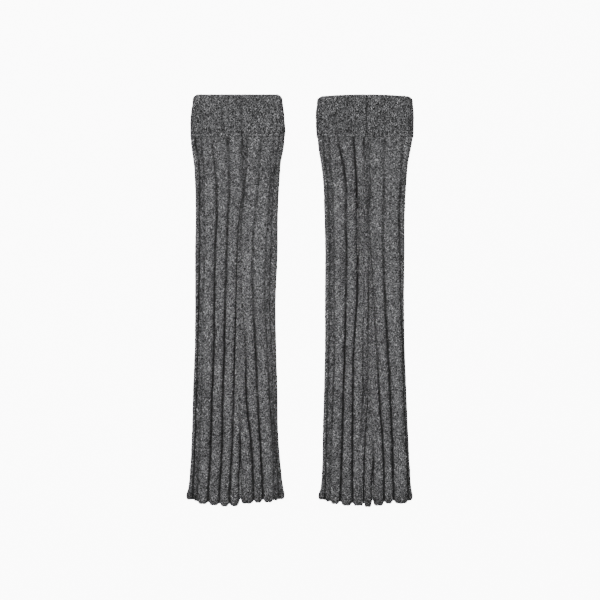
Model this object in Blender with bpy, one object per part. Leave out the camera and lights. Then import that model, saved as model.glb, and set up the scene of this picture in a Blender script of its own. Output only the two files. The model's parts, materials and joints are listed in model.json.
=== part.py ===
"""Pair of long ribbed leg warmers in heavy wool knit, laid flat side by side.

Each leg warmer is two knitted pieces: a ribbed tube, sewn up along the back of the leg, and a smooth
doubled band at its top. The back seams face up. +Y runs from the hems to the bands, +Z is up, and the
ribs of the underside rest on z = 0. The origin is the middle of the pair's footprint.
Metres in the scene; the tables and sizes below are in millimetres.
"""

from collections import namedtuple

import bpy
import numpy as np

MM = 0.001

# Thickness of the cloth and of the flattened tube, mm
HEIGHT = 7.8  # from the surface to the crests of the upper layer
MIDDLE = 3.6  # height of the slit between the two layers
SLIT = 0.4  # clearance between the layers
BAND_SLIT = 0.8
UNDER_RELIEF = 1.6  # depth of the rib valleys of the underside
INNER_SHARE = 0.5  # how much of the ribbing shows on the inner face of the cloth
SIDE_WALL = 1.9  # wall at the side folds
BAND_SIDE_WALL = 3.4  # the band is two layers of cloth
FOLD_RADIUS = 4.5  # how far from the edge the side folds begin to round over

# Ribbing, mm
UNDER_RIBS = 8
FULL_RIB = 9.0  # a rib at least this wide stands to its full height
SHOULDER = 6.0  # reach of the slope between a valley and the crest beside it
ARCH = 0.6  # exponent of the rib's round crest: lower is flatter
RIB_SHARES = (0.0, 0.22, 0.5, 0.78)  # where the points lie across a rib, from its left valley
LEFT_FOLD_SHARES = (0.0, 0.08, 0.3, 0.65)  # across the rib that turns under at the left
RIGHT_FOLD_SHARES = (0.0, 0.35, 0.7, 0.92, 1.0)
UNDER_SHARES = (0.8, 0.2, 0.0)  # flat crest and valley of an underside rib, right to left
UNDER_SIDE = (0.005, 0.03)  # shares of the width where the underside rounds up to the side folds
SEAM_GROOVE = 0.6  # depth of the back seam where it crosses the band
SEAM_HALF_WIDTH = 1.6
BAND_SIDE = (0.0, 0.1, 0.4)  # shares of the fold radius where the band's side folds have points
BAND_SHARES = (0.0, 0.08, 0.18, 0.28, 0.38, 0.62, 0.7, 0.8, 0.9, 1.0)  # across the flat of the band

# Length, mm, from the middle of the pair
BAND_FOOT = 195.3
TUBE_TOP = 195.0  # 0.3 mm below the band
BAND_TOP = 247.0
CORNER_RADIUS = 6.0
TURN_RADIUS = 1.7  # the band's top fold
TURN_RINGS = ((0.85, 0.72), (0.5, 1.0), (0.15, 0.72))  # share through the cloth, share of the radius up

# Levels where the fold tables give a valley's place, mm
FOLD_LEVELS = (185.0, 120.0, 20.0, -80.0, -160.0, -235.0)

Section = namedtuple("Section", "y left right relief")
BandSection = namedtuple("BandSection", "y left right")
Fold = namedtuple("Fold", "name top calf knee shin ankle hem depth_top depth_hem hem_notch rib_hem")
LegWarmer = namedtuple("LegWarmer", "name centre tube band folds first_rib_hem top_crown band_seam")

# Tube sections: edges measured from the leg's own centre line, and the height of its ribs.
LEFT_TUBE = [
    Section(195, -54.7, 57.1, 0.4),
    Section(184, -53.6, 56.0, 1.3),
    Section(168, -51.3, 52.9, 1.8),
    Section(144, -49.6, 50.9, 1.9),
    Section(108, -48.7, 49.1, 2.0),
    Section(54, -49.3, 48.5, 2.0),
    Section(0, -49.2, 46.2, 2.1),
    Section(-54, -49.6, 46.9, 2.1),
    Section(-108, -51.7, 48.4, 2.2),
    Section(-162, -53.2, 49.5, 2.2),
    Section(-204, -55.4, 52.9, 2.3),
    Section(-228, -58.2, 56.0, 2.3),
    Section(-236, -60.8, 57.9, 2.1),
]
RIGHT_TUBE = [
    Section(195, -56.4, 57.0, 0.4),
    Section(184, -55.4, 55.0, 1.3),
    Section(168, -52.8, 51.7, 1.8),
    Section(144, -49.7, 49.4, 1.9),
    Section(108, -48.3, 47.4, 2.0),
    Section(54, -47.2, 46.9, 2.0),
    Section(0, -47.5, 46.3, 2.1),
    Section(-54, -47.5, 47.1, 2.1),
    Section(-108, -48.6, 49.1, 2.2),
    Section(-162, -50.1, 51.4, 2.2),
    Section(-204, -51.0, 53.6, 2.3),
    Section(-228, -53.3, 55.4, 2.3),
    Section(-236, -56.6, 57.2, 2.1),
]

# Band sections: y is the level at the middle of the band, below its rounded corners.
LEFT_BAND = [
    BandSection(195.3, -54.7, 57.1),
    BandSection(204, -55.0, 58.0),
    BandSection(219, -54.8, 56.9),
    BandSection(229, -54.0, 56.3),
    BandSection(240, -52.6, 54.9),
    BandSection(247, -51.6, 53.9),
]
RIGHT_BAND = [
    BandSection(195.3, -57.2, 57.6),
    BandSection(204, -58.0, 57.8),
    BandSection(219, -58.2, 57.9),
    BandSection(229, -58.5, 58.1),
    BandSection(240, -57.4, 57.2),
    BandSection(247, -56.6, 56.0),
]

# Valleys of the upper layer, left to right. Each row has the valley's distance from the leg's centre line
# at the six levels, its depth as a share of the rib height at top and hem, how far the hem is drawn up
# there, and the level that the rib on its right reaches. beside, seam and wedge run together at the top
# and part below the knee, where two more ribs open between them.
LEFT_FOLDS = [
    Fold("outer", -43.0, -40.5, -41.0, -42.0, -43.5, -46.0, 0.4, 0.5, 1.0, -243.0),
    Fold("second", -29.0, -23.8, -27.0, -28.6, -31.9, -35.0, 0.7, 1.0, 1.8, -245.4),
    Fold("third", -11.4, -10.3, -13.2, -16.6, -18.3, -20.8, 0.9, 1.0, 2.0, -246.4),
    Fold("beside", 6.2, 6.4, -0.9, -3.5, -5.2, -9.6, 0.9, 0.9, 1.6, -246.2),
    Fold("seam", 7.6, 7.9, 2.4, 1.2, 2.8, 2.6, 0.8, 1.2, 5.0, -242.6),
    Fold("wedge", 9.0, 9.3, 4.4, 9.9, 15.4, 19.2, 0.6, 1.0, 1.6, -241.9),
    Fold("fifth", 27.5, 22.8, 18.7, 23.4, 27.4, 31.3, 0.7, 1.0, 1.8, -241.4),
    Fold("inner", 41.0, 39.4, 34.4, 37.5, 43.0, 47.5, 0.6, 0.6, 1.0, -239.5),
]
RIGHT_FOLDS = [
    Fold("outer", -43.0, -39.5, -39.0, -39.0, -40.5, -43.5, 0.4, 0.5, 1.0, -243.8),
    Fold("second", -32.0, -23.6, -23.4, -25.6, -28.2, -30.0, 0.7, 1.0, 1.6, -245.4),
    Fold("third", -14.2, -10.3, -10.5, -14.4, -16.1, -16.2, 1.0, 1.0, 2.0, -245.6),
    Fold("beside", 1.0, 2.4, 2.6, -3.3, -2.2, -2.4, 0.8, 1.0, 1.6, -247.0),
    Fold("seam", 2.4, 3.8, 4.2, 3.4, 7.4, 8.1, 0.7, 1.2, 5.0, -245.4),
    Fold("wedge", 3.8, 5.2, 6.6, 15.0, 20.2, 22.3, 0.5, 1.0, 1.8, -243.4),
    Fold("fifth", 22.0, 20.0, 23.0, 28.1, 31.8, 33.7, 0.7, 1.1, 1.6, -242.2),
    Fold("inner", 43.0, 40.8, 40.6, 43.8, 46.2, 50.5, 0.7, 0.6, 1.0, -241.0),
]

LEG_WARMERS = [
    LegWarmer("left", -75.9, LEFT_TUBE, LEFT_BAND, LEFT_FOLDS, -237.5, 0.0, 6.4),
    LegWarmer("right", 78.2, RIGHT_TUBE, RIGHT_BAND, RIGHT_FOLDS, -239.0, 2.6, 1.6),
]

# Finishes: colour (linear), roughness
RIB_KNIT = ("rib_knit", (0.105, 0.105, 0.108), 0.95)
BAND_KNIT = ("band_knit", (0.112, 0.112, 0.114), 0.95)


def smooth_through(levels, values, y):
    """Value at y of the smooth curve through (levels, values), which run downwards."""
    x = -np.asarray(levels, dtype=float)
    v = np.asarray(values, dtype=float)
    at = np.clip(-y, x[0], x[-1])
    slope = np.gradient(v, x)
    i = int(np.clip(np.searchsorted(x, at, side="right") - 1, 0, len(x) - 2))
    span = x[i + 1] - x[i]
    t = (at - x[i]) / span
    rise = (2 * t**3 - 3 * t**2 + 1) * v[i] + (3 * t**2 - 2 * t**3) * v[i + 1]
    lean = (t**3 - 2 * t**2 + t) * slope[i] + (t**3 - t**2) * slope[i + 1]
    return float(rise + lean * span)


def valleys_at(leg, y):
    """Places and depths of the leg's upper valleys at level y, the depths as shares of the relief."""
    places = [smooth_through(FOLD_LEVELS, fold[1:7], y) for fold in leg.folds]
    down = (FOLD_LEVELS[0] - y) / (FOLD_LEVELS[0] - FOLD_LEVELS[-1])
    down = min(max(down, 0.0), 1.0)
    depths = [fold.depth_top + (fold.depth_hem - fold.depth_top) * down for fold in leg.folds]
    return places, depths


def arch(t):
    """Round crest of a rib: 0 at its two valleys, 1 in the middle."""
    return max(np.sin(np.pi * min(max(t, 0.0), 1.0)), 0.0) ** ARCH


def rib_points(places, left, right):
    """Points across the upper layer: (x, rib index, share of the way across that rib)."""
    bounds = [left] + places + [right]
    points = []
    for rib in range(len(bounds) - 1):
        shares = RIB_SHARES
        if rib == 0:
            shares = LEFT_FOLD_SHARES
        elif rib == len(bounds) - 2:
            shares = RIGHT_FOLD_SHARES
        width = bounds[rib + 1] - bounds[rib]
        points += [(bounds[rib] + share * width, rib, share) for share in shares]
    return points


def sink(point, places, depths):
    """How far below the crest level a point of the upper layer lies, as a share of the relief."""
    x, rib, share = point
    if rib == 0:
        return depths[0] * (1.0 - arch(0.5 * min((places[0] - x) / SHOULDER, 1.0)))
    if rib == len(places):
        return depths[-1] * (1.0 - arch(0.5 * min((x - places[-1]) / SHOULDER, 1.0)))
    width = places[rib] - places[rib - 1]
    valley = depths[rib - 1] * (1.0 - share) + depths[rib] * share
    crest = 1.0 - min(width / FULL_RIB, 1.0)
    crest = min(crest, depths[rib - 1], depths[rib])
    return valley + (crest - valley) * arch(share)


def rounding(x, left, right):
    """1 across the flat of the tube, falling on a quarter circle to 0 at its side folds."""
    near = max(min(x - left, right - x), 0.0)
    away = 1.0 - min(near / FOLD_RADIUS, 1.0)
    return float(np.sqrt(1.0 - away**2))


def inward(x, left, right, wall):
    """Moves x in from the side folds, by the wall at the edge and by nothing past the rounding."""
    near = min(x - left, right - x)
    if near >= FOLD_RADIUS:
        return x
    shift = wall * (1.0 - near / FOLD_RADIUS)
    return x + shift if x - left < right - x else x - shift


def hem_level(leg, point):
    """Level of the scalloped hem under a point of the upper layer."""
    _, rib, share = point
    corner = leg.tube[-1].y
    reach = [leg.first_rib_hem] + [fold.rib_hem for fold in leg.folds]
    if rib == 0:
        return corner + (reach[0] - corner) * share
    if rib == len(leg.folds):
        return reach[-1] + (corner - reach[-1]) * share
    notch = leg.folds[rib - 1].hem_notch * (1.0 - share) + leg.folds[rib].hem_notch * share
    return reach[rib] + notch * (1.0 - arch(share))


def under_shares():
    """Places across the underside, right to left: (share of the width, whether it is a valley)."""
    shares = [(1.0 - side, False) for side in UNDER_SIDE]
    for rib in reversed(range(UNDER_RIBS)):
        for t in UNDER_SHARES:
            shares.append(((rib + t) / UNDER_RIBS, t == 0.0))
    return shares[:-1] + [(side, False) for side in reversed(UNDER_SIDE)]


def tube_rings(leg, section):
    """Outer and inner ring of the tube at one section, as lists of (x, y, z) in mm."""
    left, right = section.left, section.right
    places, depths = valleys_at(leg, section.y)
    upper = rib_points(places, left, right)
    is_hem = section is leg.tube[-1]
    outer, inner = [], []
    for point in upper:
        x = point[0]
        relief = section.relief * sink(point, places, depths)
        side = rounding(x, left, right)
        level = hem_level(leg, point) if is_hem else section.y
        outer.append((x, level, MIDDLE + (HEIGHT - MIDDLE - relief) * side))
        hollow = SLIT / 2 + INNER_SHARE * max(section.relief - relief, 0.0)
        inner.append((inward(x, left, right, SIDE_WALL), level, MIDDLE + hollow * side))
    relief = min(section.relief, UNDER_RELIEF)
    for share, in_valley in under_shares():
        x = left + (right - left) * share
        side = rounding(x, left, right)
        lift = relief if in_valley else 0.0
        level = section.y
        if is_hem:
            nearest = min(upper, key=lambda point: abs(point[0] - x))
            level = hem_level(leg, nearest)
        outer.append((x, level, MIDDLE - (MIDDLE - lift) * side))
        hollow = SLIT / 2 + INNER_SHARE * (relief - lift)
        inner.append((inward(x, left, right, SIDE_WALL), level, MIDDLE - hollow * side))
    return outer, inner


def band_top_level(leg, x, left, right):
    """Level of the band's top edge: crowned along the middle, round at its two corners."""
    middle, half = (left + right) / 2, (right - left) / 2
    crown = leg.top_crown * ((x - middle) / half) ** 2
    into_corner = max(CORNER_RADIUS - min(x - left, right - x), 0.0)
    drop = CORNER_RADIUS - np.sqrt(max(CORNER_RADIUS**2 - into_corner**2, 0.0))
    return BAND_TOP - crown - float(drop)


def band_rings(leg, section):
    """Outer and inner ring of the doubled band at one section, the inner one below its top fold."""
    left, right = section.left, section.right
    seam = leg.band_seam
    flat_left, flat_right = left + FOLD_RADIUS, right - FOLD_RADIUS
    xs = [left + share * FOLD_RADIUS for share in BAND_SIDE]
    xs += [right - share * FOLD_RADIUS for share in BAND_SIDE]
    xs += [flat_left + share * (flat_right - flat_left) for share in BAND_SHARES]
    xs += [seam - SEAM_HALF_WIDTH, seam, seam + SEAM_HALF_WIDTH]
    xs = sorted(xs)
    under = [x for x in reversed(xs[1:-1]) if abs(x - seam) > 2 * SEAM_HALF_WIDTH]
    share_up = (section.y - BAND_FOOT) / (BAND_TOP - BAND_FOOT)
    outer, inner = [], []
    for sign, row in ((1, xs), (-1, under)):
        for x in row:
            side = rounding(x, left, right)
            level = BAND_FOOT + (band_top_level(leg, x, left, right) - BAND_FOOT) * share_up
            groove = SEAM_GROOVE if sign > 0 and x == seam else 0.0
            reach = (HEIGHT - MIDDLE - groove) if sign > 0 else MIDDLE
            outer.append((x, level, MIDDLE + sign * reach * side))
            x_in = inward(x, left, right, BAND_SIDE_WALL)
            inner.append((x_in, level, MIDDLE + sign * BAND_SLIT / 2 * side))
    return outer, inner


def turned_top(outer, inner):
    """Three rings that carry the band's cloth over its top fold, from the inner ring to the outer."""
    outer, inner = np.array(outer), np.array(inner)
    rings = []
    for share, rise in TURN_RINGS:
        ring = outer + (inner - outer) * share
        ring[:, 1] += TURN_RADIUS * (rise - 1.0)
        rings.append([tuple(p) for p in ring])
    return rings


def closed_loft(name, rings, finish, collection, parent):
    """A solid whose surface runs through the rings in turn and back from the last to the first."""
    count = len(rings[0])
    points = [tuple(c * MM for c in point) for ring in rings for point in ring]
    faces = []
    for a in range(len(rings)):
        b = (a + 1) % len(rings)
        for i in range(count):
            j = (i + 1) % count
            faces.append((a * count + i, b * count + i, b * count + j, a * count + j))
    mesh = bpy.data.meshes.new(name)
    mesh.from_pydata(points, [], faces)
    mesh.validate()
    mesh.shade_smooth()
    mesh.set_sharp_from_angle(angle=np.radians(50))
    mesh.materials.append(finish)
    obj = bpy.data.objects.new(name, mesh)
    obj.parent = parent
    collection.objects.link(obj)
    return obj


def make_tube(leg, finish, collection, parent):
    """Ribbed tube of one leg warmer, open at both ends."""
    pairs = [tube_rings(leg, section) for section in leg.tube]
    rings = [outer for outer, inner in pairs] + [inner for outer, inner in reversed(pairs)]
    return closed_loft(leg.name + "_leg_tube", rings, finish, collection, parent)


def make_band(leg, finish, collection, parent):
    """Doubled band of one leg warmer, turned over at its top edge."""
    pairs = [band_rings(leg, section) for section in leg.band]
    top_outer, top_inner = pairs[-1]
    below = pairs[:-1]
    rings = [inner for outer, inner in below] + turned_top(top_outer, top_inner)
    rings += [outer for outer, inner in reversed(below)]
    return closed_loft(leg.name + "_top_band", rings, finish, collection, parent)


def make_finish(name, colour, roughness):
    """Matte wool finish."""
    finish = bpy.data.materials.new(name)
    finish.use_nodes = True
    shader = finish.node_tree.nodes["Principled BSDF"]
    shader.inputs["Base Color"].default_value = (*colour, 1.0)
    shader.inputs["Roughness"].default_value = roughness
    shader.inputs["Metallic"].default_value = 0.0
    return finish


def centre_pair(objects, parents):
    """Moves both leg warmers together so that the origin is the middle of their footprint."""
    bpy.context.view_layer.update()
    points = np.array([obj.matrix_world @ v.co for obj in objects for v in obj.data.vertices])
    middle = (points.min(axis=0) + points.max(axis=0)) / 2
    for parent in parents:
        parent.location.x -= middle[0]
        parent.location.y -= middle[1]


def main():
    for obj in list(bpy.data.objects):
        bpy.data.objects.remove(obj, do_unlink=True)
    collection = bpy.data.collections.new("leg_warmers")
    bpy.context.scene.collection.children.link(collection)
    rib_finish = make_finish(*RIB_KNIT)
    band_finish = make_finish(*BAND_KNIT)
    objects, parents = [], []
    for leg in LEG_WARMERS:
        parent = bpy.data.objects.new(leg.name + "_leg_warmer", None)
        parent.location = (leg.centre * MM, 0.0, 0.0)
        collection.objects.link(parent)
        parents.append(parent)
        objects.append(make_tube(leg, rib_finish, collection, parent))
        objects.append(make_band(leg, band_finish, collection, parent))
    centre_pair(objects, parents)


main()
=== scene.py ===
"""Looks of a pair of ribbed wool leg warmers, laid flat.

Each leg warmer is a ribbed tube and a doubled band, both knitted here stitch by stitch: the rows of each
mesh follow the legs of the knit's Vs, so that the creases between the stitches are real. Sizes in the
tables and constants are in millimetres unless they say otherwise.
"""

import json
import math
from collections import namedtuple

import bpy
import numpy as np
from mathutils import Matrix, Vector

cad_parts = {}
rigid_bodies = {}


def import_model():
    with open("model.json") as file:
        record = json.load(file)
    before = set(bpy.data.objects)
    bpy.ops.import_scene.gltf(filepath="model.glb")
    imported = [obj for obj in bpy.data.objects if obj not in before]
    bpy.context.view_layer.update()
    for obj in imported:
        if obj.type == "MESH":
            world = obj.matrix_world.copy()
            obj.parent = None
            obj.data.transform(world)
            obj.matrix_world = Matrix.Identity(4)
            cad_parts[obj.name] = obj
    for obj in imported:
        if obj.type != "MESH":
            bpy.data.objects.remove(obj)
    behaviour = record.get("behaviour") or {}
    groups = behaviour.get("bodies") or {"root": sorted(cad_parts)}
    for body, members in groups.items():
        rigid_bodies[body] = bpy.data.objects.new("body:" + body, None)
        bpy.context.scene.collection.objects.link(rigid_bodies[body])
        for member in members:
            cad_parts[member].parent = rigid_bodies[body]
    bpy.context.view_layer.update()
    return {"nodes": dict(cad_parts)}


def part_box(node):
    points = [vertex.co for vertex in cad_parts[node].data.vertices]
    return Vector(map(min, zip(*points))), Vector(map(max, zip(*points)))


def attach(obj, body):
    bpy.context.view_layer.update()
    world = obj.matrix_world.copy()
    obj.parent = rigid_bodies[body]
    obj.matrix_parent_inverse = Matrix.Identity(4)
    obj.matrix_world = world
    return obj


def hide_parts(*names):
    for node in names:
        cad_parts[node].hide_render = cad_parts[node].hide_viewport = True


MM = 0.001
SEED = 11
FIELD = 0.72  # width of the view at the cloth, metres

# ---------------------------------------------------------------- flattened cloth
CREST = 8.3  # height of the upper layer's rib crests, under their stitches
MIDDLE = 3.6  # height of the slit between the layers
SLIT = 0.4
FOLD_RADIUS = 4.5  # where the side folds begin to round over
SIDE_WALL = 1.9
EDGE_SWELL = 0.55  # the stitches stand out from the solid's side folds by this much
INNER_SHARE = 0.4  # how far the inner surface follows the ribs
INNER_ROWS = 8
VALLEY_FLAT = 1.1  # half width of a valley's bottom
PURL_HALF = 1.3  # half width of the purl column in a valley
FULL_RIB = 9.0  # ribs narrower than this lie lower
RIB_POWER = 2.1  # roundness of a rib's section: 2 is an ellipse
UNDER_POWER = 3.0
UNDER_RIBS = 8
UNDER_RELIEF = 1.9

# ---------------------------------------------------------------- stitches
WALE = 4.4
COURSE = 4.0
LEG_RISE = 1.05  # how far a stitch's leg climbs from the middle of its V to its edge, in courses
ROWS_PER_COURSE = 4
KNIT_STEPS = 3  # columns from the middle of a V to its edge
PURL_STEPS = 3
STITCH_RELIEF = 1.1
PURL_RELIEF = 0.5
BAND_RELIEF = 1.15
STITCH_VARIETY = 0.2
GRAIN = 0.03  # height of the random grain on the yarn
KNIT_STRIDE = 8.0  # distance between the wales in the Knit map, so that each half wale has its own square

# ---------------------------------------------------------------- hem
HEM_REACH = 38.0  # how far up from the hem its scallops are felt
BEAD_LENGTH = 2.3
BEAD_RINGS = 8
BEAD_BULGE = 0.5
NOTCH_FLAT = 1.2  # half width of the hem's notches
SEAM_FLAT = 0.7  # and of the one at the seam
LOBE_POWER, SEAM_LOBE = 2.2, 3.2  # roundness of the ribs' ends, and of the two beside the seam
LOBE = 0.35  # scallop of each wale in the cast-off edge
CAST_OFF = 5.5  # height of the cast-off edge, which stands a little proud
CAST_OFF_SWELL = 0.7
CORNER_LIFT = 4.5  # the hem's corners are rounded by this much
CORNER_WIDTH = 3.2

# ---------------------------------------------------------------- band
BAND_COURSES = 13
BAND_TURN = 1.7
BAND_TURN_COURSES = 1.5
BAND_SLIT = 0.8
BAND_SIDE_WALL = 3.4
CORNER_RADIUS = 6.3
CORNER_LEVELS = 2  # levels of the solid's outline that belong to its rounded corners
SEAM_DEPTH = 0.6
SEAM_SHADE = 0.25
SEAM_WIDTH = 1.2
BUTT_GAP = 0.1  # between the tube's top and the band's foot
BUTT_WAVE = 0.55  # the joint wanders up and down by this much
BUTT_REACH = 9.0
BUTT_LEAN = 0.12  # the joint slants by this share of its height, so that nothing shows through it
SQUEEZED_KNIT, SQUEEZED_PURL = 3.0, 2.6  # stitches narrower than this have flatter Vs

# ---------------------------------------------------------------- creases, level by level
LEVELS = (190, 165, 135, 105, 60, 0, -60, -120, -180, -230)

# Valleys between the ribs, left to right. notch: level of the hem in the valley. wales, hem: stitches
# across the rib on its right, and the level that rib's end reaches. at: distance from the leg's centre
# line at each level. depth: share of the rib height at each level.
Valley = namedtuple("Valley", "name notch wales hem at depth")

LEFT_VALLEYS = [
    Valley(
        "edge", -239.5, 1, -240.5,
        at=(-49, -45, -44, -44, -44, -45, -46.5, -48, -50, -52),
        depth=(0.5, 0.4, 0.45, 0.4, 0.4, 0.8, 0.55, 0.6, 0.6, 0.6),
    ),
    Valley(
        "outer", -241.5, 2, -244.5,
        at=(-42.5, -39.5, -39, -38.5, -38, -40, -40.5, -42, -44.5, -47),
        depth=(0.2, 0.4, 0.2, 0.2, 0.2, 0.25, 0.2, 0.3, 0.3, 0.3),
    ),
    Valley(
        "second", -242.5, 2, -246,
        at=(-29.5, -26.5, -24, -23.5, -25.5, -26.5, -27, -29.5, -31, -34),
        depth=(0.25, 0.4, 0.5, 0.6, 0.6, 0.7, 0.8, 0.85, 0.85, 0.6),
    ),
    Valley(
        "third", -244, 2, -247.5,
        at=(-10.5, -9, -8.5, -10, -11.5, -13.5, -14.5, -16.5, -17.5, -20.5),
        depth=(0.55, 0.35, 0.4, 0.45, 0.55, 0.6, 0.95, 0.8, 0.8, 0.6),
    ),
    Valley(
        "beside", -244.5, 1, -247,
        at=(7, 6.5, 8, 4, 1, -0.5, -2, -3.5, -5.5, -8.5),
        depth=(0.65, 0.2, 0.4, 0.5, 0.6, 0.6, 1.0, 0.6, 0.7, 0.6),
    ),
    Valley(
        "seam", -238.5, 2, -244,
        at=(10, 9.5, 9, 5.5, 3.5, 3, 4, 4, 4.5, 4),
        depth=(0.15, 0.15, 0.4, 0.3, 0.1, 0.05, 0.1, 0.1, 0.85, 1.9),
    ),
    Valley(
        "wedge", -240.5, 2, -243,
        at=(13, 12.5, 10, 6.5, 6, 6.5, 11, 12, 18.5, 20.5),
        depth=(0.2, 0.3, 0.45, 0.4, 0.15, 0.2, 0.4, 0.85, 0.85, 0.55),
    ),
    Valley(
        "fifth", -239.5, 2, -242.5,
        at=(29.5, 27.5, 26, 22.5, 19.5, 20, 23, 25.5, 29, 31.5),
        depth=(0.2, 0.3, 0.25, 0.3, 0.3, 0.45, 0.7, 0.65, 0.85, 0.75),
    ),
    Valley(
        "inner", -240, 1, -240,
        at=(44, 41.5, 40, 38.5, 35.5, 34, 37, 40, 44, 44.5),
        depth=(0.1, 0.25, 0.3, 0.25, 0.25, 0.3, 0.35, 0.55, 0.4, 0.25),
    ),
    Valley(
        "rim", -239, 2, -238.5,
        at=(51.5, 47, 44.5, 43, 41.5, 39.5, 42.5, 44, 48, 50.5),
        depth=(0.25, 0.35, 0.3, 0.35, 0.35, 0.35, 0.2, 0.3, 0.35, 0.35),
    ),
]

RIGHT_VALLEYS = [
    Valley(
        "edge", -240, 1, -241.5,
        at=(-50, -47.5, -44.5, -43.5, -42, -42.5, -43, -45, -46.5, -48),
        depth=(0.4, 0.3, 0.3, 0.3, 0.35, 0.3, 0.35, 0.45, 0.4, 0.4),
    ),
    Valley(
        "outer", -241.5, 2, -244.5,
        at=(-43, -42, -39, -38, -37, -37, -36.5, -38.5, -40.5, -42),
        depth=(0.2, 0.3, 0.3, 0.25, 0.3, 0.3, 0.4, 0.4, 0.3, 0.2),
    ),
    Valley(
        "second", -242, 2, -246.5,
        at=(-32, -26.5, -22.5, -23, -22, -23, -24, -26, -27.5, -29.5),
        depth=(0.4, 0.7, 0.55, 0.5, 0.6, 0.6, 1.0, 0.8, 0.8, 0.6),
    ),
    Valley(
        "third", -243.5, 2, -246.5,
        at=(-13.5, -11.5, -10, -9, -8.5, -9.5, -13.5, -14.5, -15, -15),
        depth=(0.7, 0.75, 1.0, 1.5, 1.3, 0.8, 0.7, 0.8, 0.85, 0.6),
    ),
    Valley(
        "beside", -246.5, 1, -246.5,
        at=(-1, -1, -1.5, -1.5, -1, -1.5, -2.5, -2.5, -6, -6),
        depth=(0.8, 0.1, 0.05, 0.05, 0.05, 0.05, 0.35, 0.45, 0.05, 0.05),
    ),
    Valley(
        "centre", -244, 2, -248,
        at=(2, 1.5, 2.5, 2, 4, 4, 3.5, 3, -0.5, -1.5),
        depth=(0.05, 0.1, 0.1, 0.3, 0.15, 0.6, 0.35, 0.4, 0.6, 0.65),
    ),
    Valley(
        "seam", -240, 2, -246.5,
        at=(3.5, 3, 4.5, 3.5, 5.5, 7.5, 7.5, 7, 10, 9),
        depth=(0.1, 0.15, 0.2, 0.3, 0.05, 0.05, 0.05, 0.1, 0.3, 1.6),
    ),
    Valley(
        "wedge", -242, 2, -244,
        at=(6.5, 5, 7, 5, 7, 10.5, 14.5, 17.5, 22, 23),
        depth=(0.15, 0.25, 0.4, 0.25, 0.4, 0.35, 0.4, 0.75, 0.8, 0.6),
    ),
    Valley(
        "fifth", -240.5, 3, -244,
        at=(23.5, 22.5, 23, 22, 22, 24, 27.5, 30.5, 33, 34),
        depth=(0.3, 0.25, 0.4, 0.3, 0.4, 0.6, 0.75, 0.8, 0.75, 0.55),
    ),
    Valley(
        "inner", -241, 1, -240,
        at=(45, 44, 42.5, 41, 42, 43, 45.5, 47, 50, 52),
        depth=(0.3, 0.3, 0.45, 0.45, 0.4, 0.4, 0.5, 0.45, 0.55, 0.5),
    ),
]

# Height of the ribs down the leg
RELIEF_LEVELS = (195, 190, 180, 165, 135, 45, -60, -160, -236)
RELIEFS = (2.6, 3.2, 3.5, 3.6, 3.8, 3.9, 4.0, 4.1, 4.0)

# Painted shade: the colour is darkened under the band, where the cloth is drawn together, towards the hem and
# along the side folds
SHADE_LEVELS = (195, 180, 150, 110, 70, 30, -60, -200, -225, -240)
SHADE_BY_LEVEL = (1.0, 0.75, 0.6, 0.5, 0.45, 0.3, 0.05, 0.4, 0.7, 0.7)
LEVEL_SHADE = 0.13
SIDE_SHADE = 0.13
SIDE_REACH = 9.0
FOLD_CALM = 0.35  # share of the stitches' height left on the side folds

# centre_in: from the hem's left corner to the centre line. crown: how much the band's top edge drops
# towards its corners. band_seam: the band's seam, from the centre line.
Leg = namedtuple("Leg", "name valleys centre_in first_wales first_hem crown band_seam")
LEGS = [
    Leg("left", LEFT_VALLEYS, 61.35, 1, -239.0, 0.0, 6.0),
    Leg("right", RIGHT_VALLEYS, 57.15, 1, -239.0, 2.6, 1.6),
]


# ---------------------------------------------------------------- curves
def smooth(levels, values, y):
    """Values at the array y of the smooth curve through (levels, values), whose levels run downwards."""
    x = -np.asarray(levels, dtype=float)
    v = np.asarray(values, dtype=float)
    at = np.clip(-np.asarray(y, dtype=float), x[0], x[-1])
    slope = np.gradient(v, x)
    i = np.clip(np.searchsorted(x, at, side="right") - 1, 0, len(x) - 2)
    span = x[i + 1] - x[i]
    t = (at - x[i]) / span
    rise = (2 * t**3 - 3 * t**2 + 1) * v[i] + (3 * t**2 - 2 * t**3) * v[i + 1]
    lean = (t**3 - 2 * t**2 + t) * slope[i] + (t**3 - t**2) * slope[i + 1]
    return rise + lean * span


def ramp(x, low, high):
    """0 below low, 1 above high, smooth between."""
    t = np.clip((np.asarray(x, dtype=float) - low) / (high - low), 0.0, 1.0)
    return t * t * (3 - 2 * t)


def wobble(y, phase, size):
    """Uneven wander along the leg, at three wavelengths."""
    total = 0.0
    for k, (length, share) in enumerate(((47.0, 0.4), (29.0, 0.35), (17.0, 0.25))):
        total = total + share * np.sin(2 * np.pi * y / length + phase * (1.7 + k))
    return size * total


def round_section(t, power):
    """Section of a rib: 0 at its two valleys (t = 0 and 1), 1 at its crest."""
    off = np.abs(2 * np.clip(t, 0.0, 1.0) - 1)
    return (1 - off**power) ** (1 / power)


def inward(x, left, right, wall):
    """Moves x in from the side folds by the wall's thickness, fading over the fold's radius."""
    shift_left = wall * np.clip(1 - (x - left) / FOLD_RADIUS, 0, 1)
    shift_right = wall * np.clip(1 - (right - x) / FOLD_RADIUS, 0, 1)
    return x + shift_left - shift_right


def wave_joint(points, level):
    """Lets the cloth near the joint between tube and band wander up and down with it, and slants it."""
    x, z = points[..., 0], points[..., 2]
    wave = BUTT_WAVE * (0.6 * np.sin(x / 2.1) + 0.4 * np.sin(x / 0.93 + 1.0)) + BUTT_LEAN * (z - MIDDLE)
    points[..., 1] += wave * (1 - ramp(np.abs(points[..., 1] - level), 0, BUTT_REACH))


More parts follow.
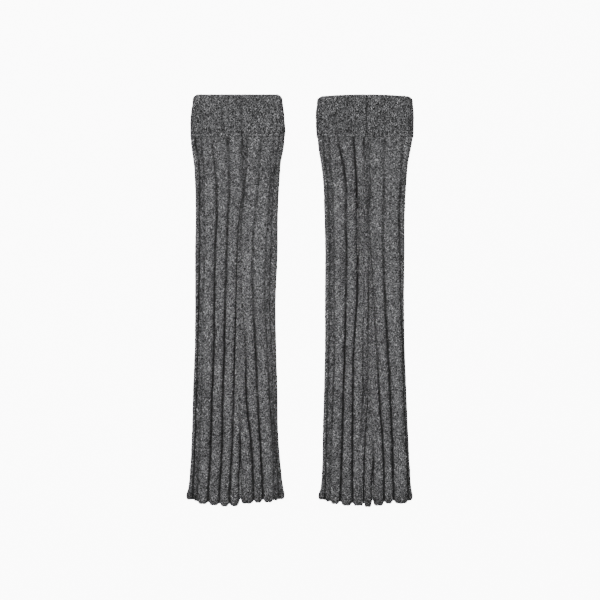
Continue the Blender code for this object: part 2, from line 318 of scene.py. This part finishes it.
def outline_of(node):
    """Levels and left and right edges of a solid along its side folds, in mm."""
    co = np.array([v.co for v in FRAME["nodes"][node].data.vertices]) / MM
    on_fold = np.abs(co[:, 2] - MIDDLE) < 0.01
    rows = []
    for level in sorted(set(np.round(co[on_fold, 1], 1)), reverse=True):
        xs = co[on_fold & (np.abs(co[:, 1] - level) < 0.06), 0]
        if np.ptp(xs) > 40:
            rows.append((level, xs.min(), xs.max()))
    levels, lefts, rights = np.array(rows).T
    return np.array([levels, lefts - EDGE_SWELL, rights + EDGE_SWELL])


# ---------------------------------------------------------------- columns of stitches across a layer
# zone: number of the rib, or of the valley for a purl. share: place across it. spread: 0 at the middle
# of a V to 1 at its edge. side: -1 or 1. wale: running number. layer: 1 upper, -1 under.
Column = namedtuple("Column", "purl zone share spread side wale layer")


def knit_columns(zone, wales, steps, first_wale, layer):
    columns = []
    for k in range(wales):
        for i in range(2 * steps):
            share = (k + i / (2 * steps)) / wales
            spread = abs(i - steps) / steps
            columns.append(Column(False, zone, share, spread, -1 if i < steps else 1, first_wale + k, layer))
    return columns


def purl_columns(zone, steps, wale, layer):
    columns = []
    for i in range(steps):
        share = i / steps
        spread = 1 - 0.35 * math.sin(math.pi * share)
        columns.append(Column(True, zone, share, spread, 1 if share < 0.5 else -1, wale, layer))
    return columns


def layer_columns(wales_per_rib, knit_steps, purl_steps, layer):
    """Columns from the left side fold to the right one."""
    columns, wale = [], 0
    for rib, wales in enumerate(wales_per_rib):
        columns += knit_columns(rib, wales, knit_steps, wale, layer)
        wale += wales
        if rib < len(wales_per_rib) - 1:
            columns += purl_columns(rib, purl_steps, wale, layer)
            wale += 1
    return columns


def mirrored(columns, ribs):
    """The same layer, read from its right side fold to its left one."""
    result = []
    for c in columns:
        zone = ribs - 2 - c.zone if c.purl else ribs - 1 - c.zone
        result.append(c._replace(zone=zone, share=1 - c.share, side=-c.side))
    return result


# ---------------------------------------------------------------- the form of a ribbed tube
class Form:
    """Surface of one leg warmer's ribbed tube, without its stitches."""

    def __init__(self, leg):
        self.leg = leg
        self.levels, self.lefts, self.rights = outline_of(leg.name + "_leg_tube")
        self.centre = self.lefts[-1] + leg.centre_in
        self.bottom = min([leg.first_hem] + [v.hem for v in leg.valleys])

    def edges(self, y):
        return smooth(self.levels, self.lefts, y), smooth(self.levels, self.rights, y)

    def valleys(self, y, upper):
        """Places and depths of a layer's valleys, each an array like y."""
        left, right = self.edges(y)
        places, depths = [], []
        if upper:
            for k, valley in enumerate(self.leg.valleys):
                phase = 1.3 * k + self.centre
                places.append(self.centre + smooth(LEVELS, valley.at, y) + wobble(y, phase, 0.35))
                depths.append(smooth(LEVELS, valley.depth, y) * (1 + wobble(y * 1.4, phase, 0.22)))
        else:
            for k in range(1, UNDER_RIBS):
                phase = 2.2 * k + self.centre
                places.append(left + (right - left) * k / UNDER_RIBS + wobble(y, phase, 0.6))
                depths.append(1 + wobble(y, phase, 0.1))
        return places, depths

    def relief(self, y, upper):
        height = smooth(RELIEF_LEVELS, RELIEFS, y)
        return height if upper else np.minimum(height, UNDER_RELIEF)

    def surface(self, column, y):
        """x, height share at the side folds, sink, and width of a wale, for a column at the levels y."""
        upper = column.layer > 0
        left, right = self.edges(y)
        places, depths = self.valleys(y, upper)
        bounds = [left] + places + [right]
        halves = []
        for k in range(len(places)):
            room = np.minimum(bounds[k + 1] - bounds[k], bounds[k + 2] - bounds[k + 1])
            halves.append(np.minimum(PURL_HALF, 0.16 * room))
        x = self.across(column, left, right, places, halves)
        near = np.clip(np.minimum(x - left, right - x), 0, FOLD_RADIUS)
        side = np.sqrt(1 - (1 - near / FOLD_RADIUS) ** 2)
        sink = np.zeros_like(x)
        for k in range(len(bounds) - 1):
            inside = (x >= bounds[k]) & (x <= bounds[k + 1])
            sink = np.where(inside, rib_sink(x, k, bounds, depths, RIB_POWER if upper else UNDER_POWER), sink)
        if column.purl:
            width = 2 * halves[column.zone]
        else:
            rib = column.zone
            across = bounds[rib + 1] - bounds[rib] + (3.0 if rib in (0, len(places)) else 0.0)
            width = (across - 2 * PURL_HALF) / self.wales(rib, upper)
        return x, side, sink, np.maximum(width, 0.8)

    def wales(self, rib, upper):
        """Stitches across a rib."""
        if not upper:
            return 2
        return self.leg.first_wales if rib == 0 else self.leg.valleys[rib - 1].wales

    def across(self, column, left, right, places, halves):
        zone, last = column.zone, len(places)
        if column.purl:
            return places[zone] + halves[zone] * (2 * column.share - 1)
        if 0 < zone < last:
            start = places[zone - 1] + halves[zone - 1]
            return start + (places[zone] - halves[zone] - start) * column.share
        if zone == 0:
            start, sign, share = places[0] - halves[0], -1, 1 - column.share
            width = start - left
        else:
            start, sign, share = places[-1] + halves[-1], 1, column.share
            width = right - start
        vertical = CREST - MIDDLE if column.layer > 0 else MIDDLE
        radius = np.minimum(FOLD_RADIUS, width)
        flat = width - radius
        arc = math.pi / 2 * np.sqrt((radius**2 + vertical**2) / 2)
        along = share * (flat + arc)
        angle = np.clip((along - flat) / arc, 0, 1) * math.pi / 2
        return start + sign * np.where(along < flat, along, flat + radius * np.sin(angle))

    def hem(self, x):
        """Level of the scalloped hem at x."""
        leg, y = self.leg, np.full_like(x, self.bottom)
        places, _ = self.valleys(y, True)
        left, right = self.edges(y)
        bounds = [left] + places + [right]
        ends = [leg.first_hem] + [v.hem for v in leg.valleys]
        notches = [leg.first_hem] + [v.notch for v in leg.valleys] + [leg.valleys[-1].hem]
        level = np.full_like(x, leg.first_hem)
        seam = [v.name for v in leg.valleys].index("seam")
        for k in range(len(bounds) - 1):
            sewn = k in (seam, seam + 1)
            inside = (x >= bounds[k]) & (x <= bounds[k + 1])
            width = bounds[k + 1] - bounds[k]
            flat = np.minimum(SEAM_FLAT if sewn else NOTCH_FLAT, 0.2 * width)
            t = np.clip((x - bounds[k] - flat) / (width - 2 * flat), 0, 1)
            notch = notches[k] * (1 - t) + notches[k + 1] * t
            level = np.where(inside, notch + (ends[k] - notch) * round_section(t, SEAM_LOBE if sewn else LOBE_POWER), level)
        near = np.clip(np.minimum(x - left, right - x) / CORNER_WIDTH, 0, 1)
        return level + CORNER_LIFT * (1 - np.sqrt(1 - (1 - near) ** 2))


def rib_sink(x, k, bounds, depths, power):
    """How far x lies under the crest level, as a share of the rib height, on rib k."""
    width = bounds[k + 1] - bounds[k]
    flat = np.minimum(VALLEY_FLAT, 0.14 * width)
    if k == 0:
        t = np.clip((bounds[1] - flat - x) / (2.2 * FOLD_RADIUS), 0, 0.5)
        return depths[0] * (1 - round_section(t, power))
    if k == len(bounds) - 2:
        t = np.clip((x - flat - bounds[-2]) / (2.2 * FOLD_RADIUS), 0, 0.5)
        return depths[-1] * (1 - round_section(t, power))
    t = np.clip((x - bounds[k] - flat) / (width - 2 * flat), 0, 1)
    valley = depths[k - 1] * (1 - t) + depths[k] * t
    crest = np.minimum(1 - np.minimum(width / FULL_RIB, 1) ** 0.7, np.minimum(depths[k - 1], depths[k]))
    return valley + (crest - valley) * round_section(t, power)


# ---------------------------------------------------------------- stitches
def stitch_heights(columns, rows, rng, relief):
    """Height of the stitches over the surface, for each row and column."""
    course = np.floor(rows + 1e-6).astype(int)
    across = np.sin(np.pi * (rows - course)) ** 0.75
    wales = max(c.wale for c in columns) + 1
    variety = 1 + STITCH_VARIETY * rng.standard_normal((course.max() + 1, 2, wales, 2)).clip(-2, 2)
    height = np.zeros((len(rows), len(columns)))
    for k, c in enumerate(columns):
        grown = variety[course, (c.layer + 1) // 2, c.wale, (c.side + 1) // 2]
        if c.purl:
            height[:, k] = PURL_RELIEF * (0.3 + 0.7 * across) * grown
        else:
            along = math.sin(math.pi * (0.14 + 0.8 * c.spread)) ** 0.6
            height[:, k] = relief * along * (0.25 + 0.75 * across) * grown
    return height + GRAIN * rng.standard_normal(height.shape).clip(-2, 2)


def grid_normals(points):
    """Unit normals of a grid of points (rows, columns, 3) that is closed along its columns."""
    across = np.roll(points, -1, axis=1) - np.roll(points, 1, axis=1)
    along = np.gradient(points, axis=0)
    normal = np.cross(across, along)
    return normal / np.maximum(np.linalg.norm(normal, axis=2, keepdims=True), 1e-9)


def raise_stitches(surface, height, columns):
    """Moves the surface out by the stitches' height; the under layer's go in, so it lies on the floor."""
    down = ramp(MIDDLE - surface[..., 2], 0, 0.8 * MIDDLE)
    shift = height - height.max() * down
    knitted = surface + grid_normals(surface) * shift[..., None]
    knitted[..., 2] = np.maximum(knitted[..., 2], 0.0)
    return knitted


def knit_map(columns, rows, width):
    """Knit coordinates in mm: across the wales and along the courses, V by V."""
    uv = np.zeros((len(rows), len(columns), 2))
    for k, c in enumerate(columns):
        wale = c.wale if c.layer > 0 else c.wale + 40
        half = np.minimum(width[:, k] / 2, 0.48 * KNIT_STRIDE)
        uv[:, k, 0] = wale * KNIT_STRIDE + c.side * (0.02 + c.spread) * half
        uv[:, k, 1] = rows * COURSE
    return uv


def leg_climb(rows, total):
    """How far the legs of the Vs climb, row by row: less at both ends, where the rows are straight."""
    return LEG_RISE * np.minimum(1, np.minimum(rows / 1.2, (total - rows) / 1.3))


def closed_mesh(name, rings, knit, crease):
    """Mesh through a grid of rings (rings, columns, 3) in mm, closed both ways, with nothing under z = 0."""
    rings[..., 2] = np.maximum(rings[..., 2], 0.0)
    count_rings, count, _ = rings.shape
    a = np.arange(count_rings)[:, None] * count
    b = (np.arange(count_rings)[:, None] + 1) % count_rings * count
    i = np.arange(count)[None, :]
    j = (i + 1) % count
    quads = np.stack([a + i, b + i, b + j, a + j], axis=2).reshape(-1, 4)
    ring_number = np.arange(count_rings)[:, None] + 0 * i
    column = np.stack([i, i, i + 1, i + 1], axis=2) + np.zeros((count_rings, 1, 1))
    ring = np.stack([ring_number, ring_number + 1, ring_number + 1, ring_number], axis=2)
    bake = np.stack([column / count, ring / count_rings], axis=3).reshape(-1, 4, 2)
    if signed_volume(rings.reshape(-1, 3), quads) < 0:
        quads, bake = quads[:, ::-1], bake[:, ::-1]
    mesh = bpy.data.meshes.new(name)
    mesh.vertices.add(count_rings * count)
    mesh.vertices.foreach_set("co", (rings.reshape(-1) * MM).astype(np.float32))
    mesh.loops.add(len(quads) * 4)
    mesh.loops.foreach_set("vertex_index", quads.reshape(-1).astype(np.int32))
    mesh.polygons.add(len(quads))
    mesh.polygons.foreach_set("loop_start", np.arange(0, len(quads) * 4, 4, dtype=np.int32))
    mesh.update(calc_edges=True)
    per_loop = knit.reshape(-1, 2)[quads.reshape(-1)]
    mesh.uv_layers.new(name="Knit").data.foreach_set("uv", per_loop.reshape(-1).astype(np.float32))
    mesh.uv_layers.new(name="OFBake").data.foreach_set("uv", bake.reshape(-1).astype(np.float32))
    # Per point painted shade, which darkens the wool's colour
    shade = mesh.attributes.new("crease", "FLOAT", "POINT")
    shade.data.foreach_set("value", crease.reshape(-1).astype(np.float32))
    mesh.shade_smooth()
    obj = bpy.data.objects.new(name, mesh)
    bpy.context.scene.collection.objects.link(obj)
    print(name, "columns", count, "rings", count_rings, "triangles", 2 * len(quads))
    return obj


def signed_volume(points, quads):
    total = 0.0
    for corners in ((0, 1, 2), (0, 2, 3)):
        p, q, r = (points[quads[:, c]] for c in corners)
        total += np.einsum("ij,ij->i", p, np.cross(q, r)).sum()
    return total


# ---------------------------------------------------------------- the ribbed tube
def make_tube(leg):
    form = Form(leg)
    rng = np.random.default_rng(SEED + len(leg.name))
    columns = layer_columns([leg.first_wales] + [v.wales for v in leg.valleys], KNIT_STEPS, PURL_STEPS, 1)
    columns += mirrored(layer_columns([2] * UNDER_RIBS, 2, 1, -1), UNDER_RIBS)
    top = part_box(leg.name + "_top_band")[0].y / MM - BUTT_GAP
    bottom = form.bottom
    courses = round((top - bottom) / COURSE)
    rows = np.arange(0, courses * ROWS_PER_COURSE + 1) / ROWS_PER_COURSE
    climb = leg_climb(rows, courses)
    shape = (len(rows), len(columns))
    surface, inner = np.zeros(shape + (3,)), np.zeros(shape + (3,))
    depth, width, cast_off_shade, leg_shade, calm = (np.zeros(shape) for _ in range(5))
    for k, c in enumerate(columns):
        level = bottom + rows / courses * (top - bottom)
        squeeze = np.clip(form.surface(c, level)[3] / (SQUEEZED_PURL if c.purl else SQUEEZED_KNIT), 0.3, 1)
        straight = bottom + (rows + climb * squeeze * c.spread) / courses * (top - bottom)
        x = form.surface(c, straight)[0]
        lobe = LOBE * (1 - math.sin(math.pi * (0.5 + 0.5 * c.spread)) ** 0.8)
        lift = form.hem(x[:1])[0] + BEAD_LENGTH + lobe - bottom
        y = straight + lift * (1 - ramp(straight - bottom, 0, HEM_REACH))
        x, side, sink, room = form.surface(c, y)
        relief = form.relief(y, c.layer > 0)
        left, right = form.edges(y)
        reach = CREST - MIDDLE if c.layer > 0 else MIDDLE
        swell = CAST_OFF_SWELL * np.sin(math.pi * np.clip((y - y[0]) / CAST_OFF, 0, 1)) ** 0.8
        out = (reach - relief * sink + (swell if c.layer > 0 else 0)) * side
        hollow = (SLIT / 2 + INNER_SHARE * np.maximum(relief * (1 - sink), 0)) * side
        surface[:, k] = np.stack([x, y, MIDDLE + c.layer * out], axis=1)
        inner[:, k] = np.stack([inward(x, left, right, SIDE_WALL), y, MIDDLE + c.layer * hollow], axis=1)
        depth[:, k] = sink * relief / max(RELIEFS)
        width[:, k] = room
        # painted shade just above the hem, fading out over the cast-off edge
        cast_off_shade[:, k] = 1 - ramp(y - y[0], CAST_OFF - 1.5, CAST_OFF + 0.5)
        # painted shade under the band, towards the hem and along the side folds
        leg_shade[:, k] = painted_leg_shade(x, y, left, right)
        calm[:, k] = FOLD_CALM + (1 - FOLD_CALM) * side
    height = stitch_heights(columns, rows, rng, STITCH_RELIEF) * np.clip(width / 3.6, 0.2, 1) * calm
    knitted = raise_stitches(surface, height, columns)
    knitted[..., 1] = np.minimum(knitted[..., 1], top)
    knitted[-1, :, 1] = top
    wave_joint(knitted, top)
    wave_joint(inner, top)
    picks = np.linspace(len(rows) - 1, 0, INNER_ROWS).round().astype(int)
    knit = knit_map(columns, rows, width)
    bead, bead_knit = hem_bead(knitted[0], inner[0], columns)
    # Painted shade between the stitches, weaker in the course next to the band
    stitch = (1 - height / height.max()) * (0.65 + 0.35 * ramp(courses - rows, 0, 0.6))[:, None]
    # Painted shade in the colour: between the stitches, in the valleys by their depth, at the cast-off edge,
    # under the band, towards the hem and along the side folds
    crease = np.clip(0.45 * stitch + 0.7 * depth + 0.12 * cast_off_shade + leg_shade, 0, 1)
    rings = np.concatenate([knitted, inner[picks], bead])
    knit = np.concatenate([knit, knit[picks], bead_knit])
    # Painted shade on the hem's bead, less on the under layer's, and a fixed painted shade on the inner faces
    dark = np.tile([0.45 if c.layer > 0 else 0.25 for c in columns], (BEAD_RINGS, 1))
    crease = np.concatenate([crease, np.full((INNER_ROWS, len(columns)), 0.35), dark])
    return closed_mesh(leg.name + "_ribbed_tube", rings, knit, crease)


def painted_leg_shade(x, y, left, right):
    """Painted shade: how much the colour is darkened under the band, where the cloth is drawn together,
    towards the hem and along the side folds.
    """
    side = 1 - ramp(np.minimum(x - left, right - x), 0, SIDE_REACH)
    return LEVEL_SHADE * smooth(SHADE_LEVELS, SHADE_BY_LEVEL, y) + SIDE_SHADE * side


def hem_bead(outer_edge, inner_edge, columns):
    """Rings of the cast-off edge, round the end of the cloth from its inner face to its outer one."""
    middle = (outer_edge + inner_edge) / 2
    toward = outer_edge - inner_edge
    half = np.linalg.norm(toward, axis=1, keepdims=True) / 2
    toward = toward / np.maximum(2 * half, 1e-6)
    under = np.array([c.layer < 0 for c in columns])
    place = np.array([c.wale + 0.5 + 0.5 * c.side * c.spread for c in columns])
    rings, knits = [], []
    for k in range(1, BEAD_RINGS + 1):
        angle = math.pi * (1 - k / (BEAD_RINGS + 1))
        link = np.abs(np.sin(math.pi * (place + 0.4 * math.cos(angle))))[:, None] ** 0.6
        swell = BEAD_BULGE * math.sin(angle) ** 0.5 * (0.75 + 0.5 * link)
        ring = middle + toward * (half + 0.6 * swell) * math.cos(angle)
        ring[:, 1] -= (BEAD_LENGTH + swell[:, 0] - BEAD_BULGE) * math.sin(angle)
        ring[:, 2] = np.where(under, np.maximum(ring[:, 2], 0.0), ring[:, 2])
        rings.append(ring)
        knits.append(np.stack([place * KNIT_STRIDE, np.full(len(columns), -0.6 * k)], axis=1))
    return np.array(rings), np.array(knits)


# ---------------------------------------------------------------- the band
def make_band(leg):
    node = leg.name + "_top_band"
    rng = np.random.default_rng(SEED + 7 * len(leg.name))
    low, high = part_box(node)
    foot, top = low.y / MM, high.y / MM
    levels, lefts, rights = band_outline(node, top)
    wales = round((rights[-1] - lefts[-1] + 5) / WALE)
    seam = Form(leg).centre + leg.band_seam
    total = BAND_COURSES + BAND_TURN_COURSES
    rows = np.arange(0, total * ROWS_PER_COURSE + 1) / ROWS_PER_COURSE
    climb = leg_climb(rows, total)
    columns = knit_columns(0, wales, 4, 0, 1) + mirrored(knit_columns(0, wales, 2, 0, -1), 1)
    rim = band_rim(columns, leg, top, levels, lefts, rights)
    surface = np.zeros((len(rows), len(columns), 3))
    inner = np.zeros((INNER_ROWS, len(columns), 3))
    for k, c in enumerate(columns):
        end = rim["middle"][k, 1]
        v = rows + climb * c.spread
        y = foot + np.clip(v / BAND_COURSES, 0, 1) * (end - foot)
        face = band_wall(c, y, levels, lefts, rights)[0]
        angle = np.clip((v - BAND_COURSES) / BAND_TURN_COURSES, 0, 1)[:, None] * math.pi
        turned = rim["middle"][k] + rim["out"][k] * rim["half"][k] * np.cos(angle)
        turned = turned + rim["up"][k] * BAND_TURN * np.sin(angle)
        surface[:, k] = np.where((v < BAND_COURSES)[:, None], face, turned)
        inner[:, k] = band_wall(c, np.linspace(end - 2.0, foot, INNER_ROWS), levels, lefts, rights)[1]
    fold = np.abs(surface[..., 2] - MIDDLE) / (CREST - MIDDLE)
    calm = FOLD_CALM + (1 - FOLD_CALM) * ramp(fold, 0, 0.8)
    height = stitch_heights(columns, rows, rng, BAND_RELIEF) * calm
    # Painted shade between the stitches, weaker in the course next to the foot
    stitch = 1 - height / height.max()
    stitch *= (0.65 + 0.35 * ramp(rows, 0, 0.6))[:, None]
    upper = np.array([c.layer > 0 for c in columns])
    seam_line = np.exp(-(((surface[..., 0] - seam) / SEAM_WIDTH) ** 2)) * upper[None]
    height -= SEAM_DEPTH * seam_line
    height *= 1 - 0.55 * ramp(rows, BAND_COURSES - 0.5, BAND_COURSES + 0.3)[:, None]
    knitted = raise_stitches(surface, height, columns)
    knitted[..., 1] = np.maximum(knitted[..., 1], foot)
    knitted[0, :, 1] = foot
    wave_joint(knitted, foot - BUTT_GAP)
    wave_joint(inner, foot - BUTT_GAP)
    knit = knit_map(columns, rows, np.full(surface.shape[:2], WALE))
    rings = np.concatenate([knitted, inner])
    knit = np.concatenate([knit, np.repeat(knit[-1:], INNER_ROWS, axis=0)])
    near = np.minimum(surface[..., 0] - lefts.min(), rights.max() - surface[..., 0])
    # Painted shade in the colour: between the stitches, along the seam, towards the side folds, and fixed on
    # the inner faces
    crease = 0.8 * stitch + SEAM_SHADE * seam_line + SIDE_SHADE * (1 - ramp(near, 2, 2 + SIDE_REACH))
    crease = np.concatenate([np.clip(crease, 0, 1), np.full((INNER_ROWS, len(columns)), 0.35)])
    return closed_mesh(leg.name + "_knit_band", rings, knit, crease)


def band_outline(node, top):
    """Levels and edges of a band, carried on past its rounded corners to its top edge."""
    levels, lefts, rights = outline_of(node)[:, CORNER_LEVELS:]
    rise = 0.6 * (top - levels[0]) / (levels[0] - levels[1])
    lefts = np.append(lefts[0] + rise * (lefts[0] - lefts[1]), lefts)
    rights = np.append(rights[0] + rise * (rights[0] - rights[1]), rights)
    return np.append(top, levels), lefts, rights


def band_wall(column, y, levels, lefts, rights):
    """Points of the band's outer and inner faces in a column, at the levels y."""
    left, right = smooth(levels, lefts, y), smooth(levels, rights, y)
    reach = CREST - MIDDLE if column.layer > 0 else MIDDLE
    arc = math.pi / 2 * math.sqrt((FOLD_RADIUS**2 + reach**2) / 2)
    flat = (right - left) - 2 * FOLD_RADIUS
    along = column.share * (flat + 2 * arc)
    from_left = np.clip(1 - along / arc, 0, 1) * math.pi / 2
    from_right = np.clip((along - arc - flat) / arc, 0, 1) * math.pi / 2
    x = left + FOLD_RADIUS + np.clip(along - arc, 0, flat)
    x = x + FOLD_RADIUS * (np.sin(from_right) - np.sin(from_left))
    side = np.cos(from_left) * np.cos(from_right)
    outer = np.stack([x, y, MIDDLE + column.layer * reach * side], axis=1)
    x_in = inward(x, left, right, BAND_SIDE_WALL)
    inner = np.stack([x_in, y, MIDDLE + column.layer * BAND_SLIT / 2 * side], axis=1)
    return outer, inner


def band_rim(columns, leg, top, levels, lefts, rights):
    """Middle line of the band's turned top edge, with its outward and upward directions."""
    at_top = np.array([top])
    left, right = smooth(levels, lefts, at_top)[0], smooth(levels, rights, at_top)[0]
    walls = [band_wall(c, at_top, levels, lefts, rights) for c in columns]
    outer = np.array([wall[0][0] for wall in walls])
    inner = np.array([wall[1][0] for wall in walls])
    middle = (outer + inner) / 2
    bend = CORNER_RADIUS - BAND_TURN
    into = np.clip(CORNER_RADIUS - np.minimum(middle[:, 0] - left, right - middle[:, 0]), 0, 0.93 * bend)
    across = (middle[:, 0] - (left + right) / 2) / ((right - left) / 2)
    drop = bend - np.sqrt(bend**2 - into**2)
    middle[:, 1] = top - BAND_TURN - leg.crown * across**2 - drop
    half = np.linalg.norm(outer - inner, axis=1, keepdims=True) / 2
    out = (outer - inner) / (2 * half)
    tangent = np.roll(middle, -1, axis=0) - np.roll(middle, 1, axis=0)
    up = np.cross(tangent, out)
    up = up / np.linalg.norm(up, axis=1, keepdims=True) * np.sign(up[:, 1:2])
    return {"middle": middle, "out": out, "up": up, "half": half}


# ---------------------------------------------------------------- wool
class Graph:
    """Short ways to build a material's nodes."""

    def __init__(self, material):
        self.nodes, self.links = material.node_tree.nodes, material.node_tree.links

    def add(self, kind, inputs=None, **settings):
        node = self.nodes.new(kind)
        for key, value in settings.items():
            setattr(node, key, value)
        for key, value in (inputs or {}).items():
            if isinstance(value, bpy.types.NodeSocket):
                self.links.new(value, node.inputs[key])
            else:
                node.inputs[key].default_value = value
        return node

    def math(self, operation, a, b):
        return self.add("ShaderNodeMath", {0: a, 1: b}, operation=operation).outputs[0]

    def noise(self, vector, scale, detail, roughness):
        inputs = {"Vector": vector, "Scale": scale, "Detail": detail, "Roughness": roughness}
        return self.add("ShaderNodeTexNoise", inputs).outputs["Fac"]

    def spread(self, value, low, high, dark, light):
        """Maps low..high to dark..light."""
        inputs = {0: value, 1: low, 2: high, 3: dark, 4: light}
        return self.add("ShaderNodeMapRange", inputs).outputs[0]


def wool(name, base, fleck, speck, fineness):
    """Charcoal melange wool: light and dark fibres along the yarn, matt, with a soft nap, darkened by painted
    shade from the mesh.
    """
    material = bpy.data.materials.new(name)
    material.use_nodes = True
    graph = Graph(material)
    shader = graph.nodes["Principled BSDF"]
    shader.inputs["Roughness"].default_value = 0.95
    shader.inputs["Specular IOR Level"].default_value = 0.15
    shader.inputs["Sheen Weight"].default_value = 0.15
    shader.inputs["Sheen Roughness"].default_value = 0.6

    knit = graph.add("ShaderNodeUVMap", uv_map="Knit").outputs["UV"]
    place = graph.add("ShaderNodeTexCoord").outputs["Object"]
    squares = graph.add("ShaderNodeMapping", {"Vector": knit, "Scale": (2 / KNIT_STRIDE, 1 / COURSE, 1)})
    whole = graph.add("ShaderNodeVectorMath", {0: squares.outputs[0]}, operation="FLOOR")
    leg_tone = graph.add("ShaderNodeTexWhiteNoise", {"Vector": whole.outputs[0]}).outputs["Value"]
    stretch = (fineness, 0.58 * fineness, 1)
    coarse = graph.add("ShaderNodeMapping", {"Vector": knit, "Scale": stretch}).outputs[0]
    fine = graph.add("ShaderNodeMapping", {"Vector": knit, "Scale": (0.9, 2.4, 1)}).outputs[0]
    grain = graph.add("ShaderNodeMapping", {"Vector": place, "Scale": (1.0, 0.75, 1.0)}).outputs[0]

    tone = graph.spread(leg_tone, 0.0, 1.0, 0.62, 1.38)
    light = graph.spread(graph.noise(coarse, 1.0, 1.0, 0.6), 0.32, 0.70, 0.0, 1.0)
    flecks = graph.spread(graph.math("POWER", light, 1.6), 0.0, 1.0, 0.18, fleck)
    fibres = graph.spread(graph.noise(fine, 1.0, 2.0, 0.6), 0.32, 0.68, 0.62, 1.38)
    specks = graph.spread(graph.noise(grain, 820.0, 1.0, 0.6), 0.34, 0.66, 1 - speck, 1 + speck)
    cloud = graph.spread(graph.noise(place, 30.0, 2.0, 0.5), 0.3, 0.7, 0.88, 1.12)
    # Painted shade: the mesh's shade attribute read here darkens the colour down to a tenth where it is high,
    # and lightens it a little where it is low
    crease = graph.add("ShaderNodeAttribute", attribute_name="crease").outputs["Fac"]
    shade = graph.spread(crease, 0.1, 0.85, 1.15, 0.10)

    factor = tone
    for layer in (flecks, fibres, specks, cloud, shade):
        factor = graph.math("MULTIPLY", factor, layer)
    colour = graph.add("ShaderNodeVectorMath", {0: base, "Scale": factor}, operation="SCALE")
    graph.links.new(colour.outputs["Vector"], shader.inputs["Base Color"])

    fibre = graph.add("ShaderNodeMapping", {"Vector": knit, "Scale": (1.4, 4.5, 1)}).outputs[0]
    height = graph.noise(fibre, 1.0, 3.0, 0.6)
    bump = graph.add("ShaderNodeBump", {"Strength": 0.6, "Distance": 0.0005, "Height": height})
    graph.links.new(bump.outputs["Normal"], shader.inputs["Normal"])
    return material


# ---------------------------------------------------------------- stage
def make_floor():
    bpy.ops.mesh.primitive_plane_add(size=24.0, location=(0, 0, -0.0002))
    floor = bpy.context.object
    floor.name = "floor"
    floor.visible_diffuse = False
    paper = bpy.data.materials.new("white_paper")
    paper.use_nodes = True
    shader = paper.node_tree.nodes["Principled BSDF"]
    shader.inputs["Base Color"].default_value = (0.9, 0.9, 0.9, 1)
    shader.inputs["Roughness"].default_value = 0.9
    shader.inputs["Emission Color"].default_value = (1, 1, 1, 1)
    shader.inputs["Emission Strength"].default_value = 10.0
    floor.data.materials.append(paper)


def make_light(name, location, size, power):
    data = bpy.data.lights.new(name, "AREA")
    data.shape = "DISK"
    data.size = size
    data.energy = power
    light = bpy.data.objects.new(name, data)
    light.location = location
    light.rotation_euler = (-Vector(location)).to_track_quat("-Z", "Y").to_euler()
    bpy.context.scene.collection.objects.link(light)


def make_world(strength):
    world = bpy.data.worlds.new("studio")
    world.use_nodes = True
    background = world.node_tree.nodes["Background"]
    graph = Graph(world)
    direction = graph.add("ShaderNodeTexCoord").outputs["Generated"]
    height = graph.add("ShaderNodeSeparateXYZ", {"Vector": direction}).outputs["Z"]
    dome = graph.spread(height, -0.05, 0.45, 0.15 * strength, strength)
    graph.links.new(dome, background.inputs["Strength"])
    bpy.context.scene.world = world


def make_camera():
    data = bpy.data.cameras.new("camera")
    data.lens = 85.0
    data.sensor_width = 36.0
    data.clip_start, data.clip_end = 0.05, 20.0
    camera = bpy.data.objects.new("camera", data)
    camera.location = (0.0004, 0.0005, FIELD / data.sensor_width * data.lens + 0.006)
    bpy.context.scene.collection.objects.link(camera)
    bpy.context.scene.camera = camera


for old in list(bpy.data.objects):
    bpy.data.objects.remove(old, do_unlink=True)
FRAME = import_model()
make_camera()
rib_wool = wool("rib_wool", (0.129, 0.129, 0.133), 4.6, 0.85, 1.3)
band_wool = wool("band_wool", (0.097, 0.097, 0.100), 6.0, 1.0, 1.4)
for leg in LEGS:
    tube, band = make_tube(leg), make_band(leg)
    tube.data.materials.append(rib_wool)
    band.data.materials.append(band_wool)
    for piece, node, slot in ((tube, "_leg_tube", "rib_knit"), (band, "_top_band", "band_knit")):
        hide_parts(leg.name + node)
        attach(piece, "root")
make_floor()
make_world(1.65)
make_light("key", (-0.5, 0.7, 1.8), 1.0, 34.0)
